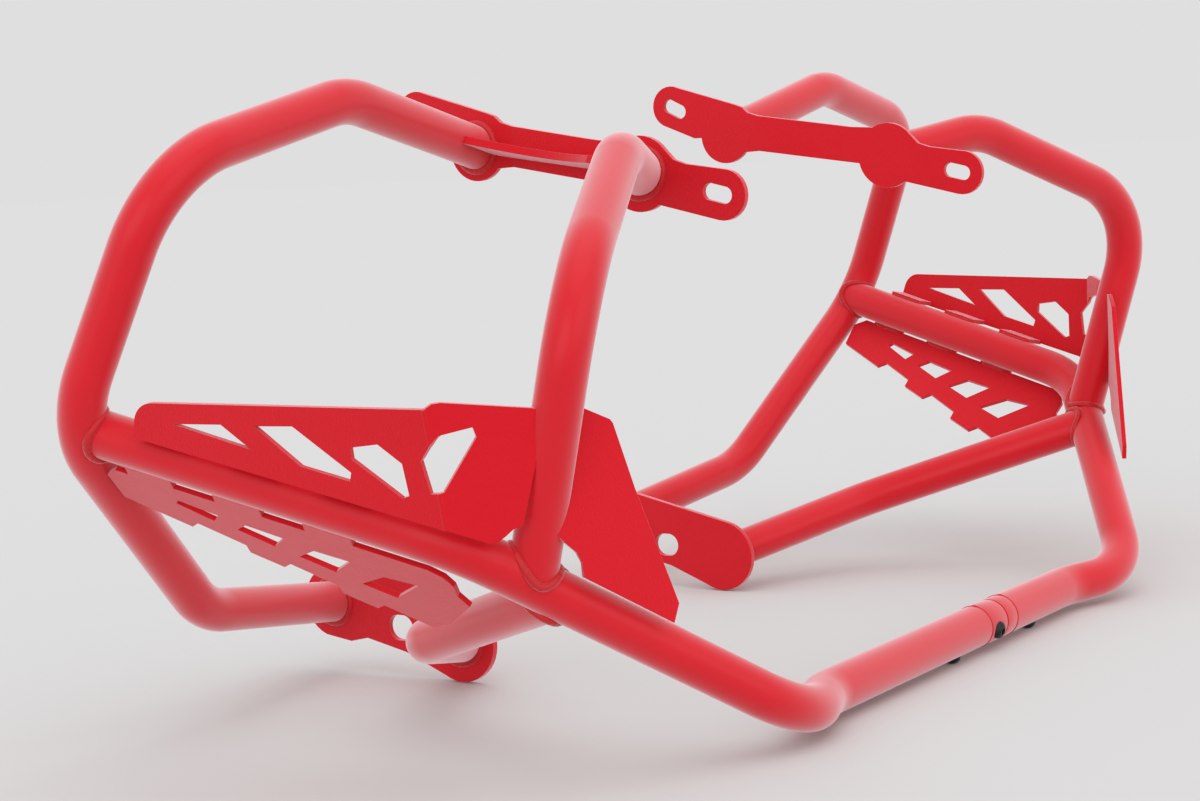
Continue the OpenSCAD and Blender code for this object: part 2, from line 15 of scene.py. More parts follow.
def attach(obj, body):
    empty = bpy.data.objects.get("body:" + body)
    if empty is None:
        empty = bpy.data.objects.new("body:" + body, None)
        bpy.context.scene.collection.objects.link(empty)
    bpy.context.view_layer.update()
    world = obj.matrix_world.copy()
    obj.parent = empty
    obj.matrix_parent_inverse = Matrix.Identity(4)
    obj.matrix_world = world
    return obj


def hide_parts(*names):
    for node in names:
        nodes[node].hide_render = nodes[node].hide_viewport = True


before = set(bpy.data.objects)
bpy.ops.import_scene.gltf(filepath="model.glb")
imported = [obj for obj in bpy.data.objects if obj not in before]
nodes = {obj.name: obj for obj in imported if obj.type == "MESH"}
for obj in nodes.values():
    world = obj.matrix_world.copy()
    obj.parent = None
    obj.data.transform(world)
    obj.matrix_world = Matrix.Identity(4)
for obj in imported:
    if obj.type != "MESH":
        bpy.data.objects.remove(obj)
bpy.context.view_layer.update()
MM = 0.001

# Angles in degrees up to which faces are shaded smooth
SMOOTH, BOLT_SMOOTH = 40.0, 35.0

# Tubing
TUBE_R, TUBE_SIDES = 12.7, 56
BEND = {"hoop": 65.0, "upright": 62.0, "rail": 62.0, "brace": 60.0}
CROSS_BACK, CROSS_Z = -175.3, 15.4
BRACKET_REAR_FACE, BRACKET_FRONT_FACE, MOUNT_FACE = 145.5, 154.0, 156.5

# Corner points of the left guard's centre lines: across, back and up
HOOP = np.array([
    [143.5, 54.0, 322.8], [271.8, 46.1, 354.1], [413.1, 52.2, 322.5],
    [432.9, 110.3, 191.0], [300.3, 152.9, 67.4], [154.0, 179.9, 44.0]])
UPRIGHT = np.array([
    [152.0, -65.8, 303.5], [223.2, -99.2, 316.8], [357.4, -159.3, 256.9]])
RAIL = np.array([
    [420.3, 112.0, 189.4], [378.6, -96.0, 130.0], [220.6, -197.1, 17.2],
    [164.9, CROSS_BACK, CROSS_Z]])
BRACE = np.array([[263.3, 22.8, 51.1], [154.0, 80.9, 25.0]])
UPRIGHT_FOOT_ALONG, BRACE_ALONG = 42.7, 58.0

# Straight stubs at the two ends of each tube, and the reach, steps and rounding of a saddle cut
HOOP_STUBS, UPRIGHT_STUBS, BRACE_STUBS, RAIL_STUB = (24.0, 30.0), (14.0, 34.0), (34.0, 26.0), 30.0
SADDLE_PAST, SADDLE_STEPS, SADDLE_ROUNDING = 14.0, 480, 16

# Joint between the halves
JOINT_X, JOINT_GAP = 48.0, 1.0
LEFT_SLEEVE, RIGHT_SLEEVE = 14.0, 22.0
SLEEVE_BORE_R, SLEEVE_EASE, SLEEVE_BORE_IN = 10.75, 0.6, 0.05
LOWER_BOLT_FROM_GAP, FRONT_BOLT_FROM_GAP, FRONT_BOLT_ANGLE = 55.0, 12.0, 15.0
SEAT, SEAT_CLEARANCE, SEAT_CUT_H, SEAT_SIDES = 0.9, 0.6, 8.0, 48

# Bolt heads: the dome with its flat top, its eased foot, and the key hole
HEAD_R, HEAD_H, HEAD_FLAT_R, HEAD_LEVEL_R, HEAD_CROWN, HEAD_SIDES = 5.5, 3.6, 2.88, 2.4, 0.02, 72
FOOT_IN, FOOT_EASE, FOOT_SINK, DOME_START = 0.5, 0.15, 0.4, 0.06
KEY, KEY_DEPTH, KEY_LIP, KEY_EASE, KEY_CONE, KEY_TIP_R = 4.0, 2.0, 0.18, 0.25, 0.5, 0.02

# Plates: the piece that stands for each, and how far its edges are eased
PLATES = {
    "upper_bracket": ("bracket_cut_plate", 0.7),
    "bracket_gusset": ("gusset_cut_plate", 0.7),
    "lower_mount_plate": ("mount_cut_plate", 0.8),
    "upper_guard_plate": ("upper_guard_cut_plate", 0.5),
    "lower_guard_plate": ("lower_guard_cut_plate", 0.5),
    "corner_plate": ("corner_cut_plate", 0.5)}
EASE_STEPS, EASED_ANGLE, FLAT_ANGLE = 3, math.radians(32), math.radians(1)
MERGED_WITHIN, THINNEST = 0.002, 0.005

# Fourth window of the upper guard: its edge across the fold, and the wedge that trims the spur
WINDOW_EDGE = np.array([[398.15, -103.6, 187.75], [401.3, -94.06, 175.6]])
SPUR_CLEARANCE, SPUR_REACH, SPUR_THROUGH = 0.1, 9.0, 8.0

# Welds: how far outside a tube's end ring a bead runs and its radius, and how every bead is laid
PLATE_WELD, SADDLE_WELD = (0.6, 2.4), (0.5, 2.2)
BEAD_SIDES, BEAD_STEP, BEAD_PITCH = 14, 1.0, 3.4
BEAD_SWELL, BEAD_TAPER, BEAD_END = 0.10, 3.0, 0.08

# Ring lines of the joint, and from where to where their starts stand, in degrees from the back
RING_LINE_R, RING_START_R, RING_PITCH = 0.45, 0.95, 2.0
RING_POINTS, RING_START_POINTS, RING_START_TURN = 72, 12, (110, 80)

# Tab welds of the guard plates: each weld is its way up the plate, its way inward and its radius
TAB_LENGTH, TAB_PITCH, TAB_WELD_IN, TAB_BEAD_PITCH = 28.0, 53.0, 2.0, 2.6
UPPER_TAB_START, LOWER_TAB_START = 41.0, 30.0
UPPER_LEAN, LOWER_LEAN = math.radians(9), math.radians(45)
UPPER_TAB_WELD, LOWER_TAB_WELD = (12.9, 2.0, 0.8), (-10.1, -8.5, 2.3)

# Corner plate's weld: how the plate stands, the bead, and where along and up the plate it is sought
CORNER_TURN, CORNER_OFF = math.radians(30), 18.5
CORNER_WELD_R, CORNER_BEAD_PITCH, CORNER_NEAR = 1.4, 2.8, 0.6
CORNER_REACH, CORNER_HEIGHTS = (24.0, -6.0), (32.0, 84.0)

# Finishes: depth of the fine relief, specks of roughness to the metre, and the sheen
RELIEF_DEPTH, SPECK_SCALE = 0.6, 300.0
SHEEN_ROUGHNESS, SHEEN_TINT = 0.42, (1.0, 0.86, 0.91, 1.0)

# The photograph's camera, in metres and pixels
PHOTO_WIDTH, PHOTO_FOCAL, SENSOR = 1200.0, 2417.21, 36.0
CAMERA_AT = (-1.30167, -0.81239, 0.32081)
PHOTO_RIGHT = (0.55731, -0.82844, -0.05559)
PHOTO_DOWN = (-0.11802, -0.01276, -0.99293)
PHOTO_AHEAD = (0.82188, 0.55993, -0.10488)

# Studio: how bright backdrop, sky and floor are, and each sun's direction, strength and spread
BACKDROP, SKY, FLOOR = 0.737, 0.95, 0.61
FLOOR_DROP, FLOOR_SIDES, FLOOR_RINGS = 0.4, 96, (400.0, 2000.0, 8000.0, 30000.0)
SUNS = {
    "top_light": ((0.15, 0.30, -1.0), 0.65, 60),
    "near_side_light": ((0.95, 0.25, -0.12), 0.75, 50),
    "front_light": ((0.25, 1.0, -0.20), 0.5, 50)}


def unit(v):
    """The vector, or each row of an array of vectors, at length one."""
    v = np.asarray(v, float)
    return v / np.linalg.norm(v, axis=-1, keepdims=True)


def once_round(count):
    """Angles at even steps once round."""
    return np.linspace(0, 2 * math.pi, count, endpoint=False)


def placed(name, data):
    """An object at the origin for a mesh, lamp or camera."""
    obj = bpy.data.objects.new(name, data)
    bpy.context.collection.objects.link(obj)
    return obj


def photo_camera():
    """A camera whose axes are the photograph's right, up and backward directions, with the lens
    worked out from the focal length in pixels over the photograph's width."""
    data = bpy.data.cameras.new("photo_camera")
    data.sensor_width = SENSOR
    data.lens = SENSOR * PHOTO_FOCAL / PHOTO_WIDTH
    data.clip_start, data.clip_end = 0.05, 60.0
    cam = placed("photo_camera", data)
    rows = [[PHOTO_RIGHT[i], -PHOTO_DOWN[i], -PHOTO_AHEAD[i]] for i in range(3)]
    cam.matrix_world = Matrix.Translation(CAMERA_AT) @ Matrix(rows).to_4x4()
    bpy.context.scene.camera = cam


# Lines and skins

def bent_line(corners, radius, tilt=2.5):
    """Centre line of a bent tube: the straights between the corner points, and at each corner an
    arc that touches both. A point after a turn s lies at
    centre - radius * cos s * inward + radius * sin s * forward."""
    corners = np.asarray(corners, float)
    parts = [corners[:1]]
    for a, b, c in zip(corners, corners[1:], corners[2:]):
        go, leave = unit(b - a), unit(c - b)
        turn = math.acos(float(np.clip(go @ leave, -1, 1)))
        inward = unit(leave - (leave @ go) * go)
        centre = b - go * radius * math.tan(turn / 2) + inward * radius
        s = np.linspace(0, turn, max(5, int(math.degrees(turn) / tilt) + 2))[:, None]
        parts.append(centre - radius * np.cos(s) * inward + radius * np.sin(s) * go)
    parts.append(corners[-1:])
    return np.vstack(parts)


def directions(line):
    """Direction at each point of a line: the mean of the unit steps before and after it."""
    step = unit(np.diff(line, axis=0))
    mean = np.vstack([step[:1], step[:-1] + step[1:], step[-1:]])
    return unit(mean)


def carried_round(line, r):
    """A circle carried along a line: each ring is the point plus r * (cos a * side + sin a * up),
    where side is handed on from ring to ring and only squared to the new direction."""
    go = directions(line)
    side = np.empty_like(go)
    start = np.array([0.0, 0.0, 1.0]) if abs(go[0][2]) < 0.9 else np.array([1.0, 0.0, 0.0])
    side[0] = unit(start - (start @ go[0]) * go[0])
    for i in range(1, len(go)):
        side[i] = unit(side[i - 1] - (side[i - 1] @ go[i]) * go[i])
    up = np.cross(go, side)
    a = once_round(TUBE_SIDES)[None, :, None]
    return line[:, None] + r * (np.cos(a) * side[:, None] + np.sin(a) * up[:, None])


def distance_to(line, points):
    """Distance of each point from a line of straight stretches: the least over the stretches of
    the distance to the nearest place on each."""
    best = np.full(points.shape[:-1], np.inf)
    for start, run in zip(line[:-1], np.diff(line, axis=0)):
        t = np.clip(((points - start) @ run) / (run @ run), 0, 1)[..., None]
        best = np.minimum(best, np.linalg.norm(points - (start + t * run), axis=-1))
    return best


def slid_to_face(ring, go, face):
    """Each point of a ring slid along one direction until it lies on the plane x = face."""
    return ring + go * ((face - ring[:, :1]) / go[0])


def slid_to_tube(ring, go, line, r, reach):
    """Each point of a ring slid along one direction to the first place that is r from another
    tube's centre line, or to its nearest place where it only brushes past. The distances slid are
    then averaged round the ring, as the grinding of a saddle cut rounds its two tips."""
    t = np.linspace(0, reach, SADDLE_STEPS)
    away = distance_to(line, ring[:, None] + t[None, :, None] * go) - r
    inside = away <= 0
    hit = np.where(inside.any(1), inside.argmax(1), away.argmin(1))
    hit = np.maximum(hit, 1)
    row = np.arange(len(ring))
    before, after = away[row, hit - 1], away[row, hit]
    part = np.where(after <= 0, np.clip(before / np.maximum(before - after, 1e-6), 0, 1), 1.0)
    along = t[hit - 1] + part * (t[1] - t[0])
    for _ in range(SADDLE_ROUNDING):
        along = (np.roll(along, 1) + 2 * along + np.roll(along, -1)) / 4
    return ring + along[:, None] * go


def skin(rings, looped=False, capped=True):
    """Quads between neighbouring rings, and a fan to the middle at each open end."""
    n, m = rings.shape[:2]
    place = np.arange(n * m).reshape(n, m)
    if looped:
        place = np.vstack([place, place[:1]])
    right = np.roll(place, -1, axis=1)
    quads = np.stack([place[:-1], right[:-1], right[1:], place[1:]], -1).reshape(-1, 4)
    points = rings.reshape(-1, 3)
    faces = quads.tolist()
    if capped and not looped:
        points = np.vstack([points, rings[0].mean(0), rings[-1].mean(0)])
        first, last = place[0], place[-1]
        faces += [[n * m, b, a] for a, b in zip(first, np.roll(first, -1))]
        faces += [[n * m + 1, a, b] for a, b in zip(last, np.roll(last, -1))]
    return points, faces


def joined(sheets):
    """Several sheets of points and faces as one, with the faces counted on."""
    points, faces, count = [], [], 0
    for p, f in sheets:
        points.append(p)
        faces += [[int(i) + count for i in face] for face in f]
        count += len(p)
    return np.vstack(points), faces


def mirrored(sheet):
    """The same sheet on the right side: x changes sign and each face turns round."""
    points, faces = sheet
    return points * np.array([-1.0, 1.0, 1.0]), [face[::-1] for face in faces]


def outward_mesh(name, sheet):
    """A mesh in metres from a sheet in millimetres, with its faces turned outward."""
    points, faces = sheet
    mesh = bpy.data.meshes.new(name)
    mesh.from_pydata((points * MM).tolist(), [], [list(map(int, f)) for f in faces])
    work = bmesh.new()
    work.from_mesh(mesh)
    bmesh.ops.recalc_face_normals(work, faces=work.faces)
    work.to_mesh(mesh)
    work.free()
    return mesh


def piece(name, sheet, material, stands_for=(), smooth=SMOOTH):
    """A mesh object that rides on the part, with smooth shading up to an angle in degrees."""
    mesh = outward_mesh(name, sheet)
    mesh.shade_smooth()
    mesh.set_sharp_from_angle(angle=math.radians(smooth))
    mesh.materials.append(material)
    obj = placed(name, mesh)
    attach(obj, "root")
    if stands_for:
        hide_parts(*stands_for)
    return obj


def both(name, sheet, material, *stands_for):
    """The left piece and its mirror image on the right."""
    for side, half in (("left", sheet), ("right", mirrored(sheet))):
        piece(f"{side}_{name}", half, material, [f"{side}_{node}" for node in stands_for])


def taken_out(obj, sheet):
    """Takes a closed form out of a closed mesh."""
    cutter = placed("cutter", outward_mesh("cutter", sheet))
    mod = obj.modifiers.new("cut", "BOOLEAN")
    mod.operation, mod.object, mod.solver = "DIFFERENCE", cutter, "EXACT"
    bpy.context.view_layer.update()
    cut = bpy.data.meshes.new_from_object(obj.evaluated_get(bpy.context.evaluated_depsgraph_get()))
    obj.modifiers.clear()
    old, obj.data = obj.data, cut
    obj.data.name = obj.name
    bpy.data.meshes.remove(old)
    bpy.data.objects.remove(cutter)


# Finishes

def new_group(name, inputs, outputs):
    """An empty shader group with named sockets, each with its kind and first value."""
    tree = bpy.data.node_groups.new(name, "ShaderNodeTree")
    for label, kind, value in inputs:
        socket = tree.interface.new_socket(label, in_out="INPUT", socket_type=kind)
        if value is not None:
            socket.default_value = value
    for label, kind in outputs:
        tree.interface.new_socket(label, in_out="OUTPUT", socket_type=kind)
    return tree, tree.nodes.new("NodeGroupInput"), tree.nodes.new("NodeGroupOutput")


def noise(tree, place, scale, detail, roughness=0.5):
    """A noise texture on the Object place of a piece; the scale is cells to the metre."""
    n = tree.nodes.new("ShaderNodeTexNoise")
    n.inputs["Detail"].default_value = detail
    n.inputs["Roughness"].default_value = roughness
    tree.links.new(place, n.inputs["Vector"])
    if isinstance(scale, (int, float)):
        n.inputs["Scale"].default_value = scale
    else:
        tree.links.new(scale, n.inputs["Scale"])
    return n.outputs["Fac"]


def maths(tree, kind, a, b):
    """One sum on two sockets or numbers."""
    n = tree.nodes.new("ShaderNodeMath")
    n.operation = kind
    for socket, value in zip(n.inputs, (a, b)):
        if isinstance(value, (int, float)):
            socket.default_value = value
        else:
            tree.links.new(value, socket)
    return n.outputs[0]


def orange_peel_group():
    """Height of a sprayed and baked coat: wide soft waves plus a fine pebble grain, each with its
    own depth."""
    tree, given, out = new_group(
        "orange_peel",
        [("Place", "NodeSocketVector", None), ("Pebble Scale", "NodeSocketFloat", 800.0),
         ("Pebble Depth", "NodeSocketFloat", 0.3), ("Wave Scale", "NodeSocketFloat", 120.0),
         ("Wave Depth", "NodeSocketFloat", 0.5)],
        [("Height", "NodeSocketFloat")])
    pebble = noise(tree, given.outputs["Place"], given.outputs["Pebble Scale"], 2.0, 0.45)
    wave = noise(tree, given.outputs["Place"], given.outputs["Wave Scale"], 1.0)
    height = maths(tree, "ADD",
                   maths(tree, "MULTIPLY", pebble, given.outputs["Pebble Depth"]),
                   maths(tree, "MULTIPLY", wave, given.outputs["Wave Depth"]))
    tree.links.new(height, out.inputs["Height"])
    return tree


def coat_tint_group():
    """Colour and roughness of a coat: a slow drift between two close shades, and a roughness that
    wanders with a fine speck."""
    tree, given, out = new_group(
        "coat_tint",
        [("Place", "NodeSocketVector", None), ("Deep", "NodeSocketColor", (0.5, 0.5, 0.5, 1.0)),
         ("Bright", "NodeSocketColor", (0.6, 0.6, 0.6, 1.0)), ("Drift Scale", "NodeSocketFloat", 14.0),
         ("Roughness", "NodeSocketFloat", 0.35), ("Wander", "NodeSocketFloat", 0.06)],
        [("Color", "NodeSocketColor"), ("Roughness", "NodeSocketFloat")])
    drift = noise(tree, given.outputs["Place"], given.outputs["Drift Scale"], 3.0)
    mix = tree.nodes.new("ShaderNodeMix")
    mix.data_type = "RGBA"
    tree.links.new(drift, mix.inputs["Factor"])
    tree.links.new(given.outputs["Deep"], mix.inputs["A"])
    tree.links.new(given.outputs["Bright"], mix.inputs["B"])
    tree.links.new(mix.outputs["Result"], out.inputs["Color"])
    speck = noise(tree, given.outputs["Place"], SPECK_SCALE, 2.0)
    shift = maths(tree, "MULTIPLY", maths(tree, "SUBTRACT", speck, 0.5), given.outputs["Wander"])
    tree.links.new(maths(tree, "ADD", given.outputs["Roughness"], shift), out.inputs["Roughness"])
    return tree


PEEL, TINT = orange_peel_group(), coat_tint_group()


def coated(name, deep, bright, roughness, wander, pebble, wave, relief, sheen=0.0, gloss=0.5,
           metallic=0.0):
    """A coat whose colour, roughness and fine relief come from the two shared groups; pebble and
    wave are pairs of scale and depth, and relief is the strength of both."""
    mat = bpy.data.materials.new(name)
    mat.use_nodes = True
    tree = mat.node_tree
    shader = tree.nodes["Principled BSDF"]
    place = tree.nodes.new("ShaderNodeTexCoord").outputs["Object"]
    tint = tree.nodes.new("ShaderNodeGroup")
    tint.node_tree = TINT
    tint.inputs["Deep"].default_value = (*deep, 1.0)
    tint.inputs["Bright"].default_value = (*bright, 1.0)
    tint.inputs["Roughness"].default_value = roughness
    tint.inputs["Wander"].default_value = wander
    peel = tree.nodes.new("ShaderNodeGroup")
    peel.node_tree = PEEL
    peel.inputs["Pebble Scale"].default_value, peel.inputs["Pebble Depth"].default_value = pebble
    peel.inputs["Wave Scale"].default_value, peel.inputs["Wave Depth"].default_value = wave
    bump = tree.nodes.new("ShaderNodeBump")
    bump.inputs["Strength"].default_value = relief
    bump.inputs["Distance"].default_value = RELIEF_DEPTH * MM
    tree.links.new(place, tint.inputs["Place"])
    tree.links.new(place, peel.inputs["Place"])
    tree.links.new(tint.outputs["Color"], shader.inputs["Base Color"])
    tree.links.new(tint.outputs["Roughness"], shader.inputs["Roughness"])
    tree.links.new(peel.outputs["Height"], bump.inputs["Height"])
    tree.links.new(bump.outputs["Normal"], shader.inputs["Normal"])
    shader.inputs["Metallic"].default_value = metallic
    shader.inputs["Sheen Weight"].default_value = sheen
    shader.inputs["Sheen Roughness"].default_value = SHEEN_ROUGHNESS
    shader.inputs["Sheen Tint"].default_value = SHEEN_TINT
    shader.inputs["Specular IOR Level"].default_value = gloss
    mat.diffuse_color = (*bright, 1.0)
    return mat


RED_DEEP, RED_BRIGHT = (0.58, 0.002, 0.010), (0.65, 0.004, 0.015)
tube_coat = coated(
    "red_tube_coat", RED_DEEP, RED_BRIGHT, roughness=0.34, wander=0.06,
    pebble=(1100.0, 0.12), wave=(90.0, 0.10), relief=0.35, sheen=0.9, gloss=0.24)
plate_coat = coated(
    "red_plate_coat", RED_DEEP, RED_BRIGHT, roughness=0.42, wander=0.12,
    pebble=(1000.0, 0.55), wave=(160.0, 0.22), relief=0.75, sheen=0.85, gloss=0.10)
weld_coat = coated(
    "red_weld_coat", (0.44, 0.003, 0.006), (0.56, 0.005, 0.010), roughness=0.42, wander=0.12,
    pebble=(700.0, 0.4), wave=(260.0, 0.5), relief=0.5, sheen=0.5, gloss=0.35)
bolt_black = coated(
    "black_bolt_finish", (0.010, 0.010, 0.011), (0.020, 0.020, 0.022), roughness=0.38, wander=0.12,
    pebble=(1500.0, 0.2), wave=(200.0, 0.1), relief=0.3, metallic=0.4)
spigot_grey = coated(
    "spigot_steel_finish", (0.30, 0.29, 0.28), (0.36, 0.35, 0.34), roughness=0.40, wander=0.14,
    pebble=(1400.0, 0.3), wave=(60.0, 0.1), relief=0.3, metallic=1.0)


# Tubes of the left guard, mirrored for the right one

def rail_line(end):
    """Centre line of the rail, from the hoop to a place on the cross part."""
    return bent_line(np.vstack([RAIL, [[end, CROSS_BACK, CROSS_Z]]]), BEND["rail"])


rail_go = unit(RAIL[1] - RAIL[0])
rail_in = unit(np.cross(rail_go, [0.0, 0.0, 1.0]))
rail_up = np.cross(rail_in, rail_go)
lower_rail_go = unit(RAIL[2] - RAIL[1])
upright_foot = RAIL[1] + lower_rail_go * UPRIGHT_FOOT_ALONG
brace_start = RAIL[1] + lower_rail_go * BRACE_ALONG
left_cross_end = JOINT_X + JOINT_GAP / 2 + LEFT_SLEEVE
right_cross_end = JOINT_X - JOINT_GAP / 2 - RIGHT_SLEEVE

hoop_line = bent_line(HOOP, BEND["hoop"])
upright_line = bent_line(np.vstack([UPRIGHT, upright_foot]), BEND["upright"])
brace_line = bent_line(np.vstack([brace_start, BRACE]), BEND["brace"])
whole_rail = rail_line(0.0)


def cut_tube(line, start, end):
    """Rings of a tube with both ends cut: start and end each take the last ring and the way out of
    the tube, and give the ring where it is cut."""
    rings = carried_round(line, TUBE_R)
    go = directions(line)
    rings[0] = start(rings[0], -go[0])
    rings[-1] = end(rings[-1], go[-1])
    return rings


def on_plane(face):
    """Cut by the plane x = face."""
    return lambda ring, out: slid_to_face(ring, out, face)


def on_tube(line, back):
    """Cut by another tube's skin: the ring is first drawn back, then slid out to meet that skin."""
    return lambda ring, out: slid_to_tube(ring - out * back, out, line, TUBE_R, back + SADDLE_PAST)


def straight_end(ring, out):
    """Cut square."""
    return ring


def with_stubs(line, first, last):
    """A line with a point added a little inside each end, so that a slanting cut bends no long
    face; no point is added for a stub of 0."""
    if first:
        line = np.vstack([line[:1], line[:1] + unit(line[1] - line[0]) * first, line[1:]])
    if last:
        line = np.vstack([line[:-1], line[-1:] + unit(line[-2] - line[-1]) * last, line[-1:]])
    return line


def rail_rings(end):
    """The rail from the hoop's skin to a place on the cross part."""
    line = with_stubs(rail_line(end), RAIL_STUB, 0)
    return cut_tube(line, on_tube(hoop_line, RAIL_STUB), straight_end)


hoop_rings = cut_tube(with_stubs(hoop_line, *HOOP_STUBS), on_plane(BRACKET_REAR_FACE),
                      on_plane(MOUNT_FACE))
upright_rings = cut_tube(with_stubs(upright_line, *UPRIGHT_STUBS), on_plane(BRACKET_FRONT_FACE),
                         on_tube(whole_rail, UPRIGHT_STUBS[1]))
brace_rings = cut_tube(with_stubs(brace_line, *BRACE_STUBS), on_tube(whole_rail, BRACE_STUBS[0]),
                       on_plane(MOUNT_FACE))
left_rail_rings = rail_rings(left_cross_end)

both("hoop_bent_tube", skin(hoop_rings), tube_coat, "hoop_tube")
both("upright_bent_tube", skin(upright_rings), tube_coat, "front_upright")
both("brace_bent_tube", skin(brace_rings), tube_coat, "lower_brace")
left_rail = piece("left_rail_bent_tube", skin(left_rail_rings), tube_coat, ["left_main_rail"])
right_rail = piece("right_rail_bent_tube", mirrored(skin(rail_rings(-right_cross_end))), tube_coat,
                   ["right_main_rail"])


# Joint: two short sleeves with rounded ends, and three button-head bolts

def turned(profile, at, axis, sides=TUBE_SIDES, shape=None):
    """A profile of (distance from the axis, height along it) turned about an axis; shape can change
    the distance with the angle for some rows."""
    axis = unit(axis)
    helper = np.array([0.0, 0.0, 1.0]) if abs(axis[2]) < 0.9 else np.array([0.0, 1.0, 0.0])
    side = unit(np.cross(helper, axis))
    other = np.cross(axis, side)
    a = once_round(sides)
    reach = np.repeat(profile[:, :1], sides, 1)
    if shape is not None:
        reach = shape(reach, a)
    ring = np.cos(a)[:, None] * side + np.sin(a)[:, None] * other
    return at + reach[..., None] * ring[None] + profile[:, 1][:, None, None] * axis


def sleeve_profile(length):
    """Side view of a short tube stretch whose two end edges are rounded over."""
    s = np.radians(np.linspace(0, 90, 5))
    full, ease = TUBE_R - SLEEVE_EASE, SLEEVE_EASE
    near = np.stack([full + ease * np.sin(s), ease - ease * np.cos(s)], 1)
    far = np.stack([full + ease * np.cos(s), length - ease + ease * np.sin(s)], 1)
    first, last = [SLEEVE_BORE_R, SLEEVE_BORE_IN], [SLEEVE_BORE_R, length - SLEEVE_BORE_IN]
    return np.vstack([[first], near, far, [last]])


def sleeve(name, length, start, node):
    """A ring of tube on the cross part, from a place on it and so far to the left."""
    rings = turned(sleeve_profile(length), cross + [start, 0, 0], [1, 0, 0])
    return piece(name, skin(rings), tube_coat, [node])


def head_profile():
    """Half of a low dome with a flat top, from its seat to the rim of the key hole, down the hole's
    wall and in to its middle; the foot edge is eased. The dome is the arc that stands upright at
    the head's edge and meets the flat's rim. With that rim w further in and h higher, its radius
    is (w * w + h * h) / (2 * w). It starts at an angle of DOME_START, in radians."""
    w, key_r, low = HEAD_R - HEAD_FLAT_R, KEY / 2, HEAD_H - KEY_DEPTH
    r = (w ** 2 + HEAD_H ** 2) / (2 * w)
    s = np.linspace(DOME_START, math.atan2(HEAD_H, r - w), 14)
    foot = [[HEAD_R - FOOT_IN, -FOOT_SINK], [HEAD_R - FOOT_EASE, 0.0]]
    dome = np.stack([HEAD_R - r + r * np.cos(s), r * np.sin(s)], 1)
    flat = [[HEAD_FLAT_R - KEY_EASE, HEAD_H + HEAD_CROWN], [HEAD_LEVEL_R, HEAD_H]]
    lip = [[key_r + KEY_LIP, HEAD_H - HEAD_CROWN]]
    key = [[key_r, HEAD_H - KEY_EASE], [key_r, low], [KEY_TIP_R, low - KEY_CONE]]
    return np.vstack([foot, dome, flat, lip, key])


def hex_rows(first):
    """From a row on, the distance grows to that of a hexagon with the same width across flats."""
    def shape(reach, a):
        wave = 1.0 / np.cos(np.mod(a, math.pi / 3) - math.pi / 6)
        out = reach.copy()
        out[first:] = out[first:] * wave[None]
        return out
    return shape


def bolt_head(at, out):
    """A button-head bolt on its seat, with a hexagonal key hole in its last three rows."""
    profile = head_profile()
    return skin(turned(profile, at, out, sides=HEAD_SIDES, shape=hex_rows(len(profile) - 3)))


def seat_cut(obj, at, out):
    """Takes the flat seat of a bolt head out of a closed tube with a round cutter."""
    a = once_round(SEAT_SIDES)[:, None]
    side = unit(np.cross(out, [1.0, 0.0, 0.0]))
    ring = (HEAD_R + SEAT_CLEARANCE) * (np.cos(a) * side + np.sin(a) * np.cross(out, side))
    taken_out(obj, skin(np.stack([at + ring, at + ring + out * SEAT_CUT_H])))
    obj.data.set_sharp_from_angle(angle=math.radians(SMOOTH))


cross = np.array([0.0, CROSS_BACK, CROSS_Z])
left_gap, right_gap = JOINT_X + JOINT_GAP / 2, JOINT_X - JOINT_GAP / 2
sleeve("left_sleeve_ring", LEFT_SLEEVE, left_gap, "left_joint_sleeve")
right_sleeve = sleeve("right_sleeve_ring", RIGHT_SLEEVE, right_cross_end, "right_joint_sleeve")

lower_out = np.array([0.0, 0.0, -1.0])
front_turn = math.radians(FRONT_BOLT_ANGLE)
front_out = np.array([0.0, -math.cos(front_turn), -math.sin(front_turn)])
seats = {
    "left_lower_bolt": (JOINT_X + LOWER_BOLT_FROM_GAP, lower_out, left_rail),
    "right_lower_bolt": (JOINT_X - LOWER_BOLT_FROM_GAP, lower_out, right_rail),
    "front_joint_bolt": (right_gap - FRONT_BOLT_FROM_GAP, front_out, right_sleeve)}
for node, (x, out, carrier) in seats.items():
    seat = cross + [x, 0, 0] + out * (TUBE_R - SEAT)
    seat_cut(carrier, seat, out)
    piece(node + "_head", bolt_head(seat, out), bolt_black, [node],
          smooth=BOLT_SMOOTH)

spigot = nodes["joint_spigot"]
spigot.data.materials.clear()
spigot.data.materials.append(spigot_grey)


# Plates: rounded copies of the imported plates

def window_spur(side):
    """A wedge that takes the small spur at the fold out of the upper guard's fourth window and
    leaves the window's edge straight."""
    through = unit(np.cross(WINDOW_EDGE[1] - WINDOW_EDGE[0], rail_go)) * SPUR_THROUGH
    tip = WINDOW_EDGE.mean(0) + SPUR_REACH * rail_go
    wedge = np.vstack([WINDOW_EDGE + SPUR_CLEARANCE * rail_go, [tip]])
    across = [1.0, 1.0, 1.0] if side == "left" else [-1.0, 1.0, 1.0]
    return skin(np.stack([wedge - through, wedge + through]) * across)


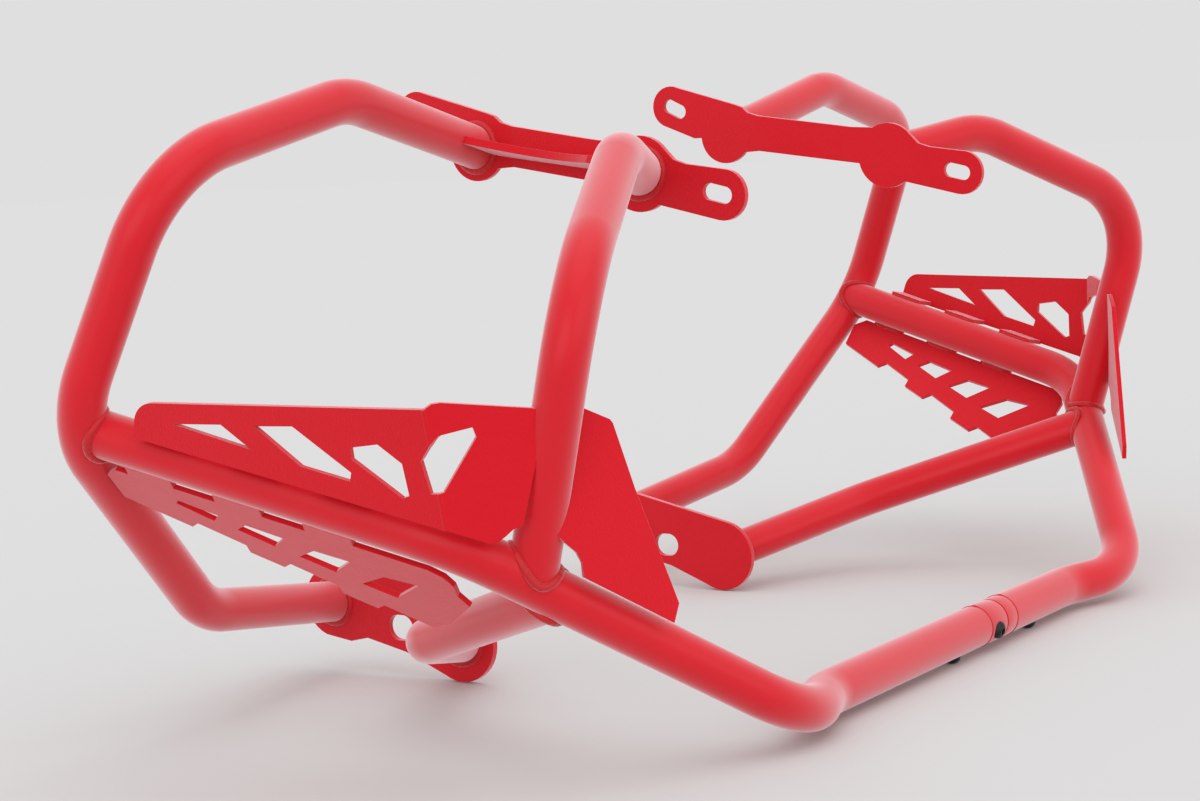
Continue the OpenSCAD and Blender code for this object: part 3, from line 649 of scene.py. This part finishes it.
def rounded_copy(node, name, ease, spur=None):
    """A copy of a packed plate with its loose triangles merged, flat faces joined and every sharp
    edge eased, as powder coat does."""
    mesh = nodes[node].data.copy()
    mesh.name = name
    work = bmesh.new()
    work.from_mesh(mesh)
    bmesh.ops.remove_doubles(work, verts=work.verts, dist=MERGED_WITHIN * MM)
    work.to_mesh(mesh)
    work.free()
    mesh.materials.clear()
    mesh.materials.append(plate_coat)
    obj = placed(name, mesh)
    if spur is not None:
        taken_out(obj, spur)
    work = bmesh.new()
    work.from_mesh(obj.data)
    bmesh.ops.dissolve_degenerate(work, edges=work.edges, dist=THINNEST * MM)
    bmesh.ops.dissolve_limit(work, angle_limit=FLAT_ANGLE, verts=work.verts, edges=work.edges)
    work.to_mesh(obj.data)
    work.free()
    obj.data.shade_smooth()
    eased = obj.modifiers.new("eased_edges", "BEVEL")
    eased.limit_method, eased.angle_limit = "ANGLE", EASED_ANGLE
    eased.width, eased.segments = ease * MM, EASE_STEPS
    eased.use_clamp_overlap = True
    even = obj.modifiers.new("flat_faces", "WEIGHTED_NORMAL")
    even.keep_sharp = False
    even.weight = 80
    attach(obj, "root")
    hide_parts(node)


for side in ("left", "right"):
    for node, (name, ease) in PLATES.items():
        spur = window_spur(side) if node == "upper_guard_plate" else None
        rounded_copy(f"{side}_{node}", f"{side}_{name}", ease, spur)


# Weld beads

def evened(path, step):
    """A path read again at even steps along its length."""
    d = np.concatenate([[0], np.cumsum(np.linalg.norm(np.diff(path, axis=0), axis=1))])
    s = np.linspace(0, d[-1], max(4, int(d[-1] / step) + 1))
    return np.stack([np.interp(s, d, path[:, k]) for k in range(3)], 1)


def bead(path, lean, r, closed=True, pitch=BEAD_PITCH):
    """A weld bead: a round carried along a path, whose radius swells and falls once a pitch like
    laid-down scales, and tapers at open ends. lean is a direction near square to the path."""
    if closed:
        path = evened(np.vstack([path, path[:1]]), BEAD_STEP)[:-1]
        step = np.roll(path, -1, 0) - np.roll(path, 1, 0)
    else:
        path = evened(path, BEAD_STEP)
        step = np.gradient(path, axis=0)
    go = unit(step)
    lean = np.broadcast_to(np.asarray(lean, float), go.shape)
    side = unit(lean - (lean * go).sum(1, keepdims=True) * go)
    up = np.cross(go, side)
    along = np.arange(len(path)) * BEAD_STEP
    total = len(path) if closed else len(path) - 1
    scales = max(3, round(total / pitch))
    swell = 1 + BEAD_SWELL * (np.abs(np.sin(math.pi * scales * along / total)) - 0.5)
    if not closed:
        ends = np.clip(np.minimum(along, total - along) / BEAD_TAPER, 0, 1)
        swell = swell * np.sqrt(BEAD_END + (1 - BEAD_END) * ends)
    a = once_round(BEAD_SIDES)[None, :, None]
    rr = (r * swell)[:, None, None]
    rings = path[:, None] + rr * (np.cos(a) * side[:, None] + np.sin(a) * up[:, None])
    return skin(rings, looped=closed)


def end_bead(ring, lean, weld):
    """A closed bead round a tube's cut end, on that ring grown a little from its middle."""
    out, r = weld
    return bead(ring + unit(ring - ring.mean(0)) * out, lean, r)


def round_cross(x, a):
    """Places on the cross tube's skin at x, with the angle counted from the back over the top."""
    back, high = CROSS_BACK + TUBE_R * np.cos(a), CROSS_Z + TUBE_R * np.sin(a)
    return np.stack([np.full(len(a), x), back, high], 1)


def ring_line(x):
    """A low smooth rib round the cross tube, where a sleeve is welded on and dressed flush."""
    return bead(round_cross(x, once_round(RING_POINTS)), [1, 0, 0], RING_LINE_R, pitch=RING_PITCH)


def ring_start(x):
    """The short thicker start of a ring weld, left standing on top of the cross tube."""
    arc = round_cross(x, np.radians(np.linspace(*RING_START_TURN, RING_START_POINTS)))
    return bead(arc, [1, 0, 0], RING_START_R, closed=False, pitch=RING_PITCH)


def tab_welds(lean, start, weld, lean_to):
    """A short bead along the edge of each of the three tabs. weld gives how far it runs up the
    plate and inward from the rail's middle line, in the plate's own frame, and its radius."""
    up, inward, r = weld
    into = rail_in * math.cos(lean) + rail_up * math.sin(lean)
    rise = rail_up * math.cos(lean) - rail_in * math.sin(lean)
    beads = []
    for i in range(3):
        first = start + i * TAB_PITCH
        along = np.linspace(first + TAB_WELD_IN, first + TAB_LENGTH - TAB_WELD_IN, 24)[:, None]
        path = RAIL[0] + along * rail_go + up * rise + inward * into
        beads.append(bead(path, lean_to, r, closed=False, pitch=TAB_BEAD_PITCH))
    return beads


def corner_weld():
    """A bead where the corner plate meets the upright: at each height the place along the plate
    that is the tube's radius from its centre line."""
    face = np.array([math.sin(CORNER_TURN), -math.cos(CORNER_TURN), 0.0])
    away = np.array([-math.cos(CORNER_TURN), -math.sin(CORNER_TURN), 0.0])
    reach = np.linspace(*CORNER_REACH, 240)[:, None]
    path = []
    for rise in np.linspace(*CORNER_HEIGHTS, 30):
        places = upright_foot + face * CORNER_OFF + reach * away + np.array([0.0, 0.0, rise])
        near = distance_to(upright_line, places) < TUBE_R + CORNER_NEAR
        if near.any():
            path.append(places[near.argmax()])
    return bead(np.array(path), rail_up, CORNER_WELD_R, closed=False, pitch=CORNER_BEAD_PITCH)


both("bracket_welds", joined([
    end_bead(hoop_rings[0], [1, 0, 0], PLATE_WELD),
    end_bead(upright_rings[0], [1, 0, 0], PLATE_WELD)]), weld_coat)
both("mount_welds", joined([
    end_bead(hoop_rings[-1], [1, 0, 0], PLATE_WELD),
    end_bead(brace_rings[-1], [1, 0, 0], PLATE_WELD)]), weld_coat)
both("rail_welds", joined([
    end_bead(upright_rings[-1], UPRIGHT[2] - upright_foot, SADDLE_WELD),
    end_bead(brace_rings[0], BRACE[0] - brace_start, SADDLE_WELD),
    end_bead(left_rail_rings[0], RAIL[1] - RAIL[0], SADDLE_WELD)]), weld_coat)
piece("sleeve_ring_lines", joined([
    ring_line(left_cross_end), ring_line(right_cross_end),
    ring_start(left_cross_end), ring_start(right_cross_end)]), weld_coat)
both("plate_welds", joined([
    *tab_welds(UPPER_LEAN, UPPER_TAB_START, UPPER_TAB_WELD, rail_up),
    *tab_welds(LOWER_LEAN, LOWER_TAB_START, LOWER_TAB_WELD, rail_in),
    corner_weld()]), weld_coat)


# Studio: plain pale floor, even light from above and the sides

def plain_floor():
    """A wide flat disc under the part. It is about as bright as the backdrop: FLOOR times the sum
    of SKY and, for each sun, its strength times the cosine of its angle from straight down over
    pi comes near BACKDROP."""
    a = once_round(FLOOR_SIDES)
    level = np.full(FLOOR_SIDES, -FLOOR_DROP)
    rings = np.stack([np.stack([r * np.cos(a), r * np.sin(a), level], 1) for r in FLOOR_RINGS])
    points, faces = skin(rings, capped=False)
    faces += [[len(points), i, (i + 1) % FLOOR_SIDES] for i in range(FLOOR_SIDES)]
    mesh = outward_mesh("studio_floor", (np.vstack([points, [[0, 0, -FLOOR_DROP]]]), faces))
    mat = bpy.data.materials.new("studio_floor_paint")
    mat.use_nodes = True
    shader = mat.node_tree.nodes["Principled BSDF"]
    shader.inputs["Base Color"].default_value = (FLOOR, FLOOR, FLOOR, 1.0)
    shader.inputs["Roughness"].default_value = 1.0
    shader.inputs["Specular IOR Level"].default_value = 0.0
    mesh.materials.append(mat)
    obj = placed("studio_floor", mesh)


def sun(name, toward, strength, spread):
    """A far soft light that shines along a direction and lights the floor evenly."""
    data = bpy.data.lights.new(name, "SUN")
    data.energy, data.angle = strength, math.radians(spread)
    z = -unit(toward)
    x = unit(np.cross([0.0, 0.0, 1.0] if abs(z[2]) < 0.95 else [0.0, 1.0, 0.0], z))
    y = np.cross(z, x)
    placed(name, data).matrix_world = Matrix([[x[i], y[i], z[i]] for i in range(3)]).to_4x4()


def studio_world():
    """World light: the backdrop's colour for what the camera and reflections see, and an even
    white for the light itself."""
    world = bpy.data.worlds.new("studio")
    bpy.context.scene.world = world
    world.use_nodes = True
    tree = world.node_tree
    tree.nodes.clear()
    out = tree.nodes.new("ShaderNodeOutputWorld")
    paths = tree.nodes.new("ShaderNodeLightPath")
    seen = tree.nodes.new("ShaderNodeBackground")
    seen.inputs["Color"].default_value = (BACKDROP, BACKDROP, BACKDROP, 1.0)
    light = tree.nodes.new("ShaderNodeBackground")
    light.inputs["Color"].default_value = (1.0, 1.0, 1.0, 1.0)
    light.inputs["Strength"].default_value = SKY
    mix = tree.nodes.new("ShaderNodeMixShader")
    mirrors = maths(tree, "MAXIMUM", paths.outputs["Is Camera Ray"], paths.outputs["Is Glossy Ray"])
    shown = maths(tree, "MAXIMUM", mirrors, paths.outputs["Is Transmission Ray"])
    tree.links.new(shown, mix.inputs[0])
    tree.links.new(light.outputs[0], mix.inputs[1])
    tree.links.new(seen.outputs[0], mix.inputs[2])
    tree.links.new(mix.outputs[0], out.inputs["Surface"])


plain_floor()
studio_world()
for name, (toward, strength, spread) in SUNS.items():
    sun(name, toward, strength, spread)
photo_camera()

bpy.context.scene.view_settings.view_transform = "Standard"
